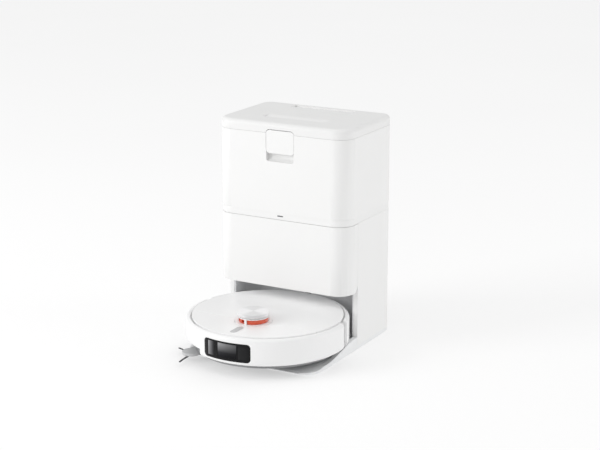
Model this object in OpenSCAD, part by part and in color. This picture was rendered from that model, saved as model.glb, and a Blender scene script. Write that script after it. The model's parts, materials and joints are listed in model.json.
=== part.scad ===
// Robot vacuum with mop discs, parked in its emptying and washing station.
// Millimetres. +Z is up, the robot faces -Y and the station's back is at +Y.
// The origin is the middle of the station's centre rubber foot, on the floor.

/* [Station] */
// Width of the station
station_w = 320; // [316:1:330]
// Depth of the station's tower
station_d = 220; // [216:1:230]
// Height of the seam under the lid
seam_z = 470; // [460:1:490]
// Height of the lid's top above the seam
lid_h = 22; // [20:1:26]
// Radius of the tower's two front corners
front_r = 38; // [34:1:42]
// Radius of the tower's two back corners
back_r = 24; // [20:1:30]
// Height of the parking bay
bay_z = 129.5; // [126:0.5:135]
// Bottom of the band between the two housings
band_low = 283; // [278:1:290]
// Top of the band between the two housings
band_high = 298.5; // [294:0.5:304]
// Where the bay's side walls start, behind the tower's front
wall_y = 55; // [52:1:60]

/* [Tray] */
// Front edge of the tray
tray_front = -143; // [-150:1:-138]
// Height of the tray's floor, on which the robot's wheels stand
tray_top = 9.5; // [8:0.5:12]
// Height of the side rails where they meet the walls
rail_h = 28; // [24:0.5:28]

/* [Robot] */
// Radius of the robot
robot_r = 175; // [174:0.5:176]
// Centre of the parked robot
robot_y = -54; // [-58:1:-53]
// Height of the robot's top plate above the tray's floor
plate_h = 80.5; // [80:0.5:84]
// Radius of the drive wheels
wheel_r = 31; // [29:0.5:31]
// Radius of the mop discs
mop_r = 62; // [58:1:62]
// Radius of the main roller
roller_r = 20; // [18:0.5:20]
// Radius of the laser turret's cap
cap_r = 33.5; // [32:0.5:35]

/* [Travel] */
// How far the front bumper gives
bumper_travel = 2.5; // [1.5:0.5:2.5]

/* [Hidden] */
$fn = 96;
e = 0.01;
soft_fn = 32;

// Station, derived
half_w = station_w / 2;
skin = 3;
lid_top = seam_z + lid_h;
lid_edge = 9;
lid_gap = 0.4;
wall_in = half_w - 10;
bay_back = 130;
liner_t = 2.7;
door_t = 3.5;
door_low = bay_z + 1.5;
door_corner = 16;
floor_t = 3.5;
partition_y = 108;
lens_z = (band_low + band_high) / 2;

// Lid hinge and latch
hinge_y = station_d - 7;
hinge_z = seam_z + 8;
hinge_pin_r = 2;
latch_w = 67;
latch_top = seam_z + 6.8;
latch_low = seam_z - 43;
latch_t = 3;
latch_corner = 8;
latch_gap = 0.7;
latch_axis = [6.2, seam_z + 4];
latch_pin_r = 1.2;
scoop_r = 15;
scoop_z = seam_z - 46.5;

// Dust duct, nozzle and contacts
duct_r = 15;
duct_bore = 12.5;
nozzle_z = tray_top + 58.5;
duct_back = 166;
duct_high = 215;
contact_x = 45;
contact_z = tray_top + 30.5;

// Fan of the station
motor_x = 95;
motor_y = 168;
motor_z = 150;

// Robot, derived; heights are above the tray's floor
chassis_z = 11;
chassis_r = 156;
shell_low = 20;
shell_high = 79;
shell_t = 4.5;
plate_t = 3;
plate_r = 162.4;
groove = bumper_travel + 0.3;
seam_y = -60;
seam_gap = 0.6;
bumper_angle = 97;
shell_angle = 103;
window_angle = 18.4;
window_z = [27.7, 67.5];
pane_at = [[-14.7, -9.3], [-6.1, 8.4], [9.4, 16.6]];
pane_z = [33, 64];
pane_depth = 0.5;
notch_angles = [-73, -24];
turret_hole = cap_r + 6.7;
turret_ring = plate_h + 10.7;
post_at = [30, 150, 270];
lidar_y = -60;
key_y = -128;
key_l = 40;
key_w = 14;
wheel_x = 106;
wheel_w = 18;
arm_pivot = [36, 40];
roller_y = -8;
roller_z = roller_r + 0.6;
roller_l = 168;
caster_y = -62;
caster_trail = 6;
caster_r = 10.5;
mop_x = 68;
mop_y = 88;
brush_arm_pivot = [-118, -58];
brush_centre = [-120, -118];
brush_reach = 52;
running = 0.05;

white = [0.96, 0.96, 0.95];
grey = [0.62, 0.63, 0.65];
dark = [0.16, 0.16, 0.17];
steel = [0.75, 0.76, 0.78];

// ---------- shared shapes ----------

// Rounded rectangle made of exact squares and circles, with its own front and back radii
module rounded_plan(x0, x1, y0, y1, rf, rb) {
    translate([x0, y0 + rf]) square([x1 - x0, y1 - rb - y0 - rf]);
    translate([x0 + rf, y0]) square([x1 - x0 - 2 * rf, rf + e]);
    translate([x0 + rb, y1 - rb - e]) square([x1 - x0 - 2 * rb, rb + e]);
    for (x = [x0 + rf, x1 - rf]) {
        translate([x, y0 + rf]) circle(r = rf);
    }
    for (x = [x0 + rb, x1 - rb]) {
        translate([x, y1 - rb]) circle(r = rb);
    }
}

// Outline of the tower, moved inwards by inset
module tower_plan(inset = 0) {
    rounded_plan(-half_w + inset, half_w - inset, inset, station_d - inset,
        front_r - inset, back_r - inset);
}

module box(x0, x1, y0, y1, z0, z1) {
    translate([x0, y0, z0]) cube([x1 - x0, y1 - y0, z1 - z0]);
}

// A plan extruded between two heights
module slab(z0, z1) {
    translate([0, 0, z0]) linear_extrude(z1 - z0) children();
}

// Cylinders along X and Y, from a start to an end
module rod_x(x0, x1, y, z, r) {
    translate([x0, y, z]) rotate([0, 90, 0]) cylinder(h = x1 - x0, r = r);
}

module rod_y(x, y0, y1, z, r) {
    translate([x, y0, z]) rotate([-90, 0, 0]) cylinder(h = y1 - y0, r = r);
}

// A profile in the YZ plane, extruded along X
module across(x0, x1) {
    translate([x0, 0, 0]) rotate([90, 0, 90]) linear_extrude(x1 - x0) children();
}

// A profile in the XZ plane, extruded along Y
module along(y0, y1) {
    translate([0, y1, 0]) rotate([90, 0, 0]) linear_extrude(y1 - y0) children();
}

module ring(r_in, r_out, z0, z1) {
    translate([0, 0, z0]) difference() {
        cylinder(h = z1 - z0, r = r_out);
        translate([0, 0, -1]) cylinder(h = z1 - z0 + 2, r = r_in);
    }
}

module at_robot() {
    translate([0, robot_y, tray_top]) children();
}

module at_lidar() {
    at_robot() translate([0, lidar_y, 0]) children();
}

// Wedge of the robot between two headings, measured from straight ahead
module heading(a0, a1) {
    far = 400;
    step = (a1 - a0) / 6;
    slab(-20, 140) polygon(concat([[0, 0]],
        [for (i = [0 : 6]) far * [sin(a0 + i * step), -cos(a0 + i * step)]]));
}

// ---------- station: tray and feet ----------

feet_at = [[0, 0], [-128, -96], [128, -96], [-132, 190], [132, 190]];

module base_tray() {
    basin = [-138, 138, -32, 106];
    ramp_x = 126;
    color([0.83, 0.83, 0.84]) difference() {
        intersection() {
            slab(1, rail_h + 1)
                rounded_plan(-half_w, half_w, tray_front, station_d, front_r, back_r);
            union() {
                box(-half_w, half_w, tray_front, station_d, 1, tray_top);
                for (x = [-half_w, wall_in]) {
                    across(x, x + 10) rail_profile();
                }
            }
        }
        // Ramp that the robot climbs, and the shallower slope at the corners
        across(-ramp_x, ramp_x) slope(tray_front - 5, 1.2, tray_front + 19);
        across(-half_w - 1, half_w + 1) slope(tray_front - 1, 4.5, tray_front + 45);
        // Wash basin under the mop discs, and the gutter that drains it
        slab(4.2, tray_top + 1)
            rounded_plan(basin[0], basin[1], basin[2], basin[3], 20, 20);
        slab(3, 5) rounded_plan(-120, 120, 84, 98, 6, 6);
        for (p = feet_at) {
            translate([p[0], p[1], 0]) cylinder(h = 2, r = 12.1);
        }
    }
}

// Everything above a straight rise from z0 at y0 to the tray's floor at y1
module slope(y0, z0, y1) {
    polygon([[y0, z0], [y1, tray_top], [y1, tray_top + 5], [y0, tray_top + 5]]);
}

// Side rail, which rises in an S from the tray's floor to the side walls
module rail_profile() {
    y0 = -90;
    y1 = wall_y - 0.3;
    steps = 24;
    polygon(concat([[y1, 1], [y0, 1]], [for (i = [0 : steps])
        [y0 + (y1 - y0) * i / steps,
            tray_top + (rail_h - tray_top) * (1 - cos(180 * i / steps)) / 2]]));
}

module wash_board() {
    color([0.72, 0.73, 0.75]) difference() {
        union() {
            slab(4.4, 6.8) rounded_plan(-137, 137, -31, 105, 19, 19);
            // Raised scrubbing ribs, one fan of spokes for each mop disc
            for (s = [-1, 1], a = [0 : 30 : 330]) {
                translate([s * mop_x, robot_y + mop_y, 6.8 - e]) rotate(a)
                    translate([14, -1.5, 0]) cube([42, 3, 2.2]);
            }
        }
        for (s = [-1, 1]) {
            translate([s * mop_x, robot_y + mop_y, 0]) cylinder(h = 20, r = 8);
        }
        for (x = [-110 : 20 : 110]) {
            slab(0, 20) translate([x, 95]) circle(r = 3);
        }
    }
}

module rubber_feet() {
    color(dark) for (p = feet_at) {
        translate([p[0], p[1], 0]) cylinder(h = 2, r = 12);
    }
}

// ---------- station: housings ----------

cover_x = 122;
cover_z = [24, 268];
inlet_x = 92;
inlet_z = 46;
peg_x = 146;
peg_z = [152, 262];
screw_at = [[-112, 34], [112, 120], [-112, 258], [112, 258]];

module lower_housing() {
    color(white) difference() {
        union() {
            // Skin behind the door's edge, round the back of the tower
            intersection() {
                slab(tray_top, band_low) difference() {
                    tower_plan();
                    tower_plan(skin);
                }
                box(-half_w, half_w, wall_y + 0.3, station_d, 0, band_low);
            }
            // Front edges of the bay's side walls
            for (s = [-1, 1]) {
                box(min(s * wall_in, s * (half_w - 1)), max(s * wall_in, s * (half_w - 1)),
                    wall_y + 0.3, wall_y + 6, tray_top, bay_z + 1);
            }
            // Floor of the overhang
            slab(bay_z, bay_z + floor_t) tower_plan(door_t + 0.7);
            intersection() {
                slab(bay_z, bay_z + floor_t) tower_plan();
                box(-half_w, half_w, wall_y + 0.3, station_d, 0, band_low);
            }
            // Wall behind the dust bag
            box(-half_w + 2, half_w - 2, partition_y, partition_y + 3, bay_z, band_low);
            // Sockets for the door's pegs
            for (s = [-1, 1], z = peg_z) {
                box(s * 148.5 - 9.5, s * 148.5 + 9.5, wall_y + 6, wall_y + 26, z - 7, z + 7);
            }
            // Frame behind the rear cover
            intersection() {
                slab(cover_z[0] - 8, cover_z[1] + 8) difference() {
                    tower_plan(1);
                    tower_plan(skin + 4);
                }
                difference() {
                    box(-cover_x - 8, cover_x + 8, station_d - 9, station_d - 2,
                        cover_z[0] - 8, cover_z[1] + 8);
                    box(-cover_x + 16, cover_x - 16, station_d - 20, station_d + 1,
                        cover_z[0] + 10, cover_z[1] - 14);
                }
            }
        }
        box(-cover_x, cover_x, station_d - skin, station_d + 1, cover_z[0], cover_z[1]);
        for (s = [-1, 1], z = peg_z) {
            rod_y(s * peg_x, wall_y - 1, wall_y + 27, z, 3 + running);
        }
        for (p = screw_at) {
            rod_y(p[0], station_d - 14, station_d + 1, p[1], 1.5);
        }
        rod_y(0, partition_y - 1, partition_y + 4, duct_high, duct_r + 0.5);
        translate([0, duct_back, bay_z - 1]) cylinder(h = floor_t + 2, r = duct_r + 0.5);
        box(inlet_x - 17.2, inlet_x + 17.2, station_d - 20, station_d + 1,
            inlet_z - 13.2, inlet_z + 13.2);
    }
}

module bay_liner() {
    liner_x = wall_in - 0.3;
    color(grey) difference() {
        union() {
            slab(tray_top + 0.1, bay_z - 0.1) difference() {
                rounded_plan(-liner_x, liner_x, wall_y + 1, bay_back, 1, 30);
                rounded_plan(-liner_x + liner_t, liner_x - liner_t, wall_y - 9,
                    bay_back - liner_t, 1, 30 - liner_t);
            }
            slab(bay_z - 0.1 - liner_t, bay_z - 0.1)
                rounded_plan(-liner_x, liner_x, wall_y + 1, bay_back, 1, 30);
        }
        rod_y(0, bay_back - 20, bay_back + 1, nozzle_z, duct_r + 0.3);
        for (s = [-1, 1]) {
            box(s * contact_x - 4.6, s * contact_x + 4.6, bay_back - 20, bay_back + 1,
                contact_z - 5.6, contact_z + 5.6);
        }
    }
}

module dust_door() {
    door_back = wall_y - 0.2;
    color(white) {
        intersection() {
            slab(door_low, band_low - 0.6) difference() {
                tower_plan();
                tower_plan(door_t);
            }
            across(-half_w - 1, half_w + 1) {
                translate([-1, door_low]) square([door_back + 1 - door_corner, band_low]);
                translate([-1, door_low + door_corner]) square([door_back + 1, band_low]);
                translate([door_back - door_corner, door_low + door_corner])
                    circle(r = door_corner);
            }
        }
        // Webs and the pegs that guide the door
        for (s = [-1, 1], z = peg_z) {
            box(s * 148.5 - 8.5, s * 148.5 + 8.5, 38, 48, z - 7, z + 7);
            rod_y(s * peg_x, 47, 78, z, 3);
        }
        // Grip rib along the inside of the lower edge
        box(-80, 80, door_t - 0.5, 9, door_low + 4, door_low + 8);
    }
}

module mid_band() {
    color([0.86, 0.86, 0.87]) difference() {
        union() {
            slab(band_low, band_high) difference() {
                tower_plan(0.6);
                tower_plan(5);
            }
            slab(band_low, band_low + 3) tower_plan(4);
        }
        along(-1, 8) translate([0, lens_z]) rounded_bar(14.3, 2.7);
        translate([motor_x, motor_y, band_low - 1]) cylinder(h = 5, r = 12);
        for (x = [-115, -72]) {
            translate([x, 170, band_low - 1]) cylinder(h = 5, r = 5);
        }
    }
}

// Bar with round ends, drawn in the XZ plane
module rounded_bar(length, height) {
    square([length - height, height], center = true);
    for (s = [-1, 1]) {
        translate([s * (length - height) / 2, 0]) circle(d = height);
    }
}

module status_lens() {
    color([0.95, 0.97, 1]) along(0.5, 5.5) translate([0, lens_z]) rounded_bar(14, 2.4);
}

// Pocket round the latch, shared by the housing and the lid
module latch_pocket(y1) {
    along(-1, y1) rounded_plan(-latch_w / 2 - latch_gap, latch_w / 2 + latch_gap,
        latch_low - latch_gap, latch_top + 2 * latch_gap, latch_corner + latch_gap,
        latch_corner + latch_gap);
}

module upper_housing() {
    color(white) difference() {
        union() {
            slab(band_high, seam_z) difference() {
                tower_plan();
                tower_plan(skin);
            }
            slab(band_high, band_high + skin) tower_plan(skin - 0.5);
            // Thicker wall that holds the latch's pocket and its finger scoop
            box(-46, 46, skin - 1, 17, scoop_z - 20, seam_z - 2);
            // Rib between the two tanks
            box(-1.5, 1.5, 16, station_d - 24, band_high, seam_z - 60);
            // Rim in front of the hinge
            box(-120, 120, station_d - 19, station_d - 16, seam_z - 8, seam_z + 6);
            box(-120, 120, station_d - 19, station_d - 2, seam_z - 8, seam_z - 5);
            for (s = [-1, 1]) {
                hinge_knuckle(s * 80 - 10, s * 80 + 10, hinge_y + 0.2, seam_z - 6);
            }
        }
        latch_pocket(latch_t + 2);
        // Catch for the latch's tongue
        box(-9.6, 9.6, latch_t, 9, latch_low + 15, latch_low + 21);
        // Finger scoop under the latch
        intersection() {
            rod_x(-latch_w, latch_w, -3, scoop_z, scoop_r);
            along(-1, 14) rounded_plan(-latch_w / 2, latch_w / 2, scoop_z - 14.6,
                scoop_z + 20, 6, 6);
        }
        rod_x(-100, 100, hinge_y, hinge_z, hinge_pin_r + running);
    }
}

// Barrel round the hinge axis with a web down or up to its own part
module hinge_knuckle(x0, x1, web_y, web_z) {
    barrel = 4;
    rod_x(x0, x1, hinge_y, hinge_z, barrel);
    box(x0, x1, hinge_y - 3, web_y, min(web_z, hinge_z), max(web_z, hinge_z));
}

module hinge_pins() {
    color(steel) for (s = [-1, 1]) {
        rod_x(s * 69 - 22, s * 69 + 22, hinge_y, hinge_z, hinge_pin_r);
    }
}

module lid() {
    low = seam_z + lid_gap;
    shoulder = lid_top - lid_edge;
    rear_cut = station_d - 15;
    grip_x = 75;
    grip_z = lid_top - 4;
    color(white) difference() {
        union() {
            difference() {
                union() {
                    slab(low, shoulder) tower_plan();
                    // Rounded shoulder and flat top
                    hull() for (s = [-1, 1], c = [[front_r, front_r], [station_d - back_r, back_r]]) {
                        translate([s * (half_w - c[1]), c[0], shoulder])
                            rotate_extrude($fn = 64) intersection() {
                                translate([c[1] - lid_edge, 0]) circle(r = lid_edge, $fn = soft_fn);
                                square([c[1], lid_edge]);
                            }
                    }
                }
                slab(low - 1, lid_top - 6) tower_plan(skin);
                // Rear edge stands clear of the housing while the lid swings
                box(-half_w - 1, half_w + 1, rear_cut, station_d + 1, low - 1, hinge_z + 0.5);
            }
            // Flange that carries the seal
            slab(low, low + 3) difference() {
                rounded_plan(-half_w + 2, half_w - 2, 2, 200.6, front_r - 2, 10);
                rounded_plan(-half_w + 9, half_w - 9, 9, 194, front_r - 9, 4);
            }
            for (s = [-1, 1]) {
                hinge_knuckle(s * 58 - 11, s * 58 + 11, hinge_y + 3, lid_top - 3);
            }
        }
        // Two finger grips in the top, each deepest at its outer edge
        across(-grip_x, grip_x) {
            polygon([[58, grip_z], [84, lid_top], [84, lid_top + 1], [58, lid_top + 1]]);
            polygon([[204, grip_z], [180, lid_top], [180, lid_top + 1], [204, lid_top + 1]]);
        }
        latch_pocket(10);
        rod_x(-100, 100, hinge_y, hinge_z, hinge_pin_r + running);
    }
    // Cheeks of the latch
    color(white) for (s = [-1, 1]) {
        difference() {
            box(s * 27.5 - 2.5, s * 27.5 + 2.5, latch_axis[0] - 1.8, 14, low + 0.4, lid_top - 3.5);
            rod_x(-40, 40, latch_axis[0], latch_axis[1], latch_pin_r + running);
        }
    }
}

module lid_seal() {
    color([0.3, 0.3, 0.32]) slab(seam_z - 1.6, seam_z + lid_gap) difference() {
        rounded_plan(-half_w + 3.6, half_w - 3.6, 3.6, 198, front_r - 3.6, 8);
        rounded_plan(-half_w + 6.6, half_w - 6.6, 6.6, 195, front_r - 6.6, 5);
        translate([-latch_w / 2 - 14, 0]) square([latch_w + 28, 18]);
    }
}

module lid_latch() {
    color(white) {
        along(0.2, latch_t + 0.2) rounded_plan(-latch_w / 2, latch_w / 2, latch_low, latch_top,
            latch_corner, latch_corner);
        // Barrel behind the flap, its pivot pins, and the tongue that holds the lid shut
        rod_x(-24, 24, latch_axis[0], latch_axis[1], 2.6);
        box(-24, 24, latch_t, latch_axis[0], latch_axis[1] - 2, latch_axis[1] + 2);
        rod_x(-29, 29, latch_axis[0], latch_axis[1], latch_pin_r);
        box(-9, 9, latch_t, latch_t + 4, latch_low + 16, latch_low + 19);
    }
}

// ---------- station: tanks, bag and air path ----------

tank_low = band_high + skin + 0.4;
tank_high = seam_z - 18;

// One tank, with its filler hole and a handle bridge; s is -1 on the left and 1 on the right
module tank(s) {
    x0 = s > 0 ? 3 : -half_w + 6;
    x1 = s > 0 ? half_w - 6 : -3;
    mid = (x0 + x1) / 2;
    difference() {
        slab(tank_low, tank_high) rounded_plan(x0, x1, 20, 196, 30, 14);
        slab(tank_low + 3, tank_high - 3)
            rounded_plan(x0 + 3, x1 - 3, 23, 193, 27, 11);
        translate([mid, 150, tank_high - 10]) cylinder(h = 20, r = 20.2);
    }
    difference() {
        box(mid - 45, mid + 45, 60, 84, tank_high - e, tank_high + 14);
        box(mid - 36, mid + 36, 50, 94, tank_high - 1, tank_high + 9);
    }
}

module clean_tank() {
    color([0.75, 0.83, 0.9, 0.7]) tank(1);
}

module dirty_tank() {
    color([0.5, 0.52, 0.55, 0.8]) tank(-1);
}

module tank_caps() {
    color([0.35, 0.45, 0.6]) for (s = [-1, 1]) {
        translate([s * (half_w - 3) / 2, 150, tank_high]) {
            translate([0, 0, -6]) cylinder(h = 6 + e, r = 20);
            cylinder(h = 5, r = 24);
            translate([-20, -2, 5 - e]) cube([40, 4, 5]);
        }
    }
}

module dust_bag() {
    r = 22;
    color([0.9, 0.88, 0.84]) hull() {
        for (x = [-90, 90], y = [38, 76], z = [bay_z + 34, 244]) {
            translate([x, y, z]) sphere(r = r, $fn = soft_fn);
        }
    }
}

module bag_frame() {
    color([0.35, 0.55, 0.75]) difference() {
        along(98.6, 102.6) translate([-48, duct_high - 34]) square([96, 66]);
        rod_y(0, 90, 110, duct_high, duct_r - 1);
    }
}

// Tube with ball elbows from the nozzle in the bay up to the bag
module duct_path(r, extra) {
    rod_y(0, bay_back - 12.6 - extra, duct_back, nozzle_z, r);
    translate([0, duct_back, nozzle_z]) sphere(r = r);
    translate([0, duct_back, nozzle_z]) cylinder(h = duct_high - nozzle_z, r = r);
    translate([0, duct_back, duct_high]) sphere(r = r);
    rod_y(0, 102.8 - extra, duct_back, duct_high, r);
}

module dust_duct() {
    color([0.3, 0.3, 0.32]) difference() {
        duct_path(duct_r, 0);
        duct_path(duct_bore, 1);
    }
}

module suction_motor() {
    color([0.25, 0.25, 0.27]) translate([motor_x, motor_y, motor_z]) difference() {
        union() {
            cylinder(h = 50, r = 30);
            translate([0, 0, 50 - e]) cylinder(h = 34, r = 38);
            translate([0, 0, 84 - e]) cylinder(h = 8, r = 16);
        }
        translate([0, 0, 54]) cylinder(h = 26, r = 35);
        translate([0, 0, 70]) cylinder(h = 30, r = 13);
        translate([0, 0, 20]) cylinder(h = 40, r = 3 + running);
    }
}

// Disc with backward-curved blades, shared by both fans
module impeller(r, h, hub_r, blades) {
    cylinder(h = 2, r = r);
    cylinder(h = h, r = hub_r);
    for (i = [0 : blades - 1]) {
        rotate(i * 360 / blades) translate([hub_r - 1, 0, 1]) rotate(-28)
            cube([r - hub_r - 3, 1.4, h - 2]);
    }
}

module station_impeller() {
    color([0.8, 0.8, 0.82]) translate([motor_x, motor_y, motor_z]) {
        translate([0, 0, 57]) impeller(32, 18, 9, 9);
        translate([0, 0, 24]) cylinder(h = 34, r = 3);
    }
}

module water_pumps() {
    color([0.28, 0.3, 0.34]) for (x = [-115, -72]) {
        translate([x, 170, 150]) {
            cylinder(h = 46, r = 18);
            translate([0, 0, 46 - e]) cylinder(h = 12, r = 12);
            translate([0, 0, 56]) cylinder(h = band_low - 206, r = 4);
        }
    }
}

module power_supply() {
    color([0.2, 0.32, 0.24]) {
        box(-138, -44, 146, 204, 16, 20);
        box(-130, -96, 150, 196, 20 - e, 58);
        box(-90, -70, 152, 176, 20 - e, 50);
        for (y = [158, 176, 194]) {
            translate([-56, y, 20 - e]) cylinder(h = 34, r = 7);
        }
    }
}

module power_inlet() {
    color(dark) {
        difference() {
            union() {
                along(station_d - 16, station_d - 2) translate([0, inlet_z])
                    translate([inlet_x, 0]) square([34, 26], center = true);
                along(station_d - 2 - e, station_d - 0.4) translate([inlet_x, inlet_z])
                    square([34, 26], center = true);
            }
            along(station_d - 14, station_d + 1) translate([inlet_x, inlet_z])
                rounded_bar(24, 15);
        }
        for (s = [-1, 1]) {
            rod_y(inlet_x + s * 4.5, station_d - 15, station_d - 7, inlet_z, 1.2);
        }
    }
}

module rear_cover() {
    c = 0.3;
    color(white) difference() {
        box(-cover_x + c, cover_x - c, station_d - skin + c, station_d,
            cover_z[0] + c, cover_z[1] - c);
        box(inlet_x - 17.2, inlet_x + 17.2, station_d - 20, station_d + 1,
            inlet_z - 13.2, inlet_z + 13.2);
        for (p = screw_at) {
            rod_y(p[0], station_d - 14, station_d + 1, p[1], 1.7);
            rod_y(p[0], station_d - 1.6, station_d + 1, p[1], 3.4);
        }
        // Air outlet slots over the fan
        for (z = [150 : 9 : 222]) {
            box(motor_x - 30, motor_x + 8, station_d - 9, station_d + 1, z, z + 3.5);
        }
    }
}

module station_screws() {
    color(steel) for (p = screw_at) {
        rod_y(p[0], station_d - 12, station_d - 1.5, p[1], 1.45);
        difference() {
            rod_y(p[0], station_d - 1.6, station_d - 0.3, p[1], 3.2);
            box(p[0] - 2.2, p[0] + 2.2, station_d - 0.9, station_d, p[1] - 0.4, p[1] + 0.4);
            box(p[0] - 0.4, p[0] + 0.4, station_d - 0.9, station_d, p[1] - 2.2, p[1] + 2.2);
        }
    }
}

module charge_contacts() {
    touch_y = robot_y + sqrt(pow(robot_r + 0.05, 2) - pow(contact_x - 4, 2)) + 0.4;
    color([0.8, 0.7, 0.45]) {
        for (s = [-1, 1]) {
            box(s * contact_x - 4, s * contact_x + 4, touch_y, bay_back + 4,
                contact_z - 5, contact_z + 5);
        }
        box(-contact_x - 8, contact_x + 8, bay_back + 3, bay_back + 8, contact_z - 7,
            contact_z + 7);
    }
}

// ---------- robot: shells ----------

// Section of the robot's outer wall, from the groove round the plate down to the skirt
module wall_section() {
    edge = 8;
    difference() {
        union() {
            translate([0, shell_low + edge])
                square([robot_r, shell_high - shell_low - 2 * edge]);
            translate([0, shell_low]) square([robot_r - edge, shell_high - shell_low]);
            translate([robot_r - edge, shell_high - edge]) circle(r = edge);
            translate([robot_r - edge, shell_low + edge]) circle(r = edge);
        }
        square([plate_r + groove, 2 * shell_high]);
        translate([0, shell_low + edge + 2])
            square([robot_r - shell_t, shell_high - shell_low - 2 * edge - 4]);
        // Inner shoulder beside the groove
        polygon([[plate_r + groove - 1, shell_high - 2.6], [plate_r + groove, shell_high - 2.6],
            [plate_r + groove + 2.4, shell_high], [plate_r + groove + 2.4, shell_high + 1],
            [plate_r + groove - 1, shell_high + 1]]);
    }
    // Ledge that closes the bottom of the groove
    translate([chassis_r + 3.5, plate_h - 11.5]) square([robot_r - chassis_r - 6, 2.5]);
}

// The window's outline, seen from the front, grown by extra
module window_plan(extra) {
    w = robot_r * sin(window_angle) + extra;
    r = 8 + extra;
    z0 = window_z[0] - extra;
    z1 = window_z[1] + extra;
    rounded_plan(-w, w, z0, z1, r, r);
}

module bumper() {
    color(white) at_robot() difference() {
        intersection() {
            rotate_extrude($fn = 180) wall_section();
            heading(-bumper_angle, bumper_angle);
        }
        intersection() {
            ring(robot_r - 3.4, robot_r + 2, 10, 90);
            along(-robot_r - 5, 0) window_plan(0.2);
        }
        // Opening behind the window for the sensors to see through
        along(-robot_r - 5, -100) window_plan(-6);
        // Long notch over the side brush's arm
        intersection() {
            ring(120, robot_r + 5, shell_low - 20, shell_low + 16);
            heading(notch_angles[0], notch_angles[1]);
        }
    }
}

module sensor_window() {
    color([0.05, 0.05, 0.06]) at_robot() difference() {
        intersection() {
            ring(robot_r - 3, robot_r + 0.2, 10, 90);
            along(-robot_r - 5, -100) window_plan(0);
        }
        // Shallow pockets in front of the line laser, the camera and the receiver
        for (pane = pane_at) {
            intersection() {
                ring(robot_r + 0.2 - pane_depth, robot_r + 2, pane_z[0], pane_z[1]);
                heading(pane[0], pane[1]);
            }
        }
    }
}

module rear_shell() {
    color(white) at_robot() difference() {
        union() {
            intersection() {
                rotate_extrude($fn = 180) wall_section();
                heading(shell_angle, 360 - shell_angle);
            }
            // Strips that close the gap behind the bumper's ends
            for (s = [-1, 1]) {
                intersection() {
                    ring(164, robot_r - 6.5, 31, 68);
                    heading(min(s * 92, s * 104.5), max(s * 92, s * 104.5));
                }
                intersection() {
                    ring(164, robot_r - 1, 31, 68);
                    heading(min(s * 104, s * 108), max(s * 104, s * 108));
                }
            }
            // Ribs on to the chassis
            for (a = [shell_angle + 7, 150, 210, 360 - shell_angle - 7]) {
                rotate(a) box(-3, 3, -166.5, -chassis_r - 0.05, shell_low + 1, shell_low + 10);
            }
        }
        rod_y(0, 100, robot_r + 5, nozzle_z - tray_top, duct_r + 0.5);
        intersection() {
            ring(robot_r - 2.2, robot_r + 2, contact_z - tray_top - 6.2, contact_z - tray_top + 6.2);
            contact_spots(6.2);
        }
    }
}

module contact_spots(half) {
    for (s = [-1, 1]) {
        box(s * contact_x - half, s * contact_x + half, 100, 200,
            contact_z - tray_top - half, contact_z - tray_top + half);
    }
}

module robot_contacts() {
    color([0.85, 0.75, 0.5]) at_robot() intersection() {
        ring(robot_r - 2, robot_r + 0.05, 0, 90);
        contact_spots(6);
    }
}

module top_disc() {
    slab(plate_h - plate_t, plate_h) circle(r = plate_r, $fn = 180);
    ring(plate_r - 3.6, plate_r, plate_h - 8, plate_h - plate_t + e);
}

module top_plate() {
    color(white) at_robot() difference() {
        intersection() {
            top_disc();
            box(-200, 200, -200, seam_y - seam_gap / 2, 0, 200);
        }
        translate([0, lidar_y, 0]) cylinder(h = 200, r = turret_hole);
        slab(0, 200) translate([0, key_y]) rotate(90) rounded_bar(key_l + 0.6, key_w + 0.6);
    }
}

module robot_cover() {
    color(white) at_robot() difference() {
        intersection() {
            top_disc();
            box(-200, 200, seam_y + seam_gap / 2, 200, 0, 200);
        }
        translate([0, lidar_y, 0]) cylinder(h = 200, r = turret_hole);
    }
}

// ---------- robot: chassis ----------

well_x = [98, 134];
well_y = 44;
well_top = 72;

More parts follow.
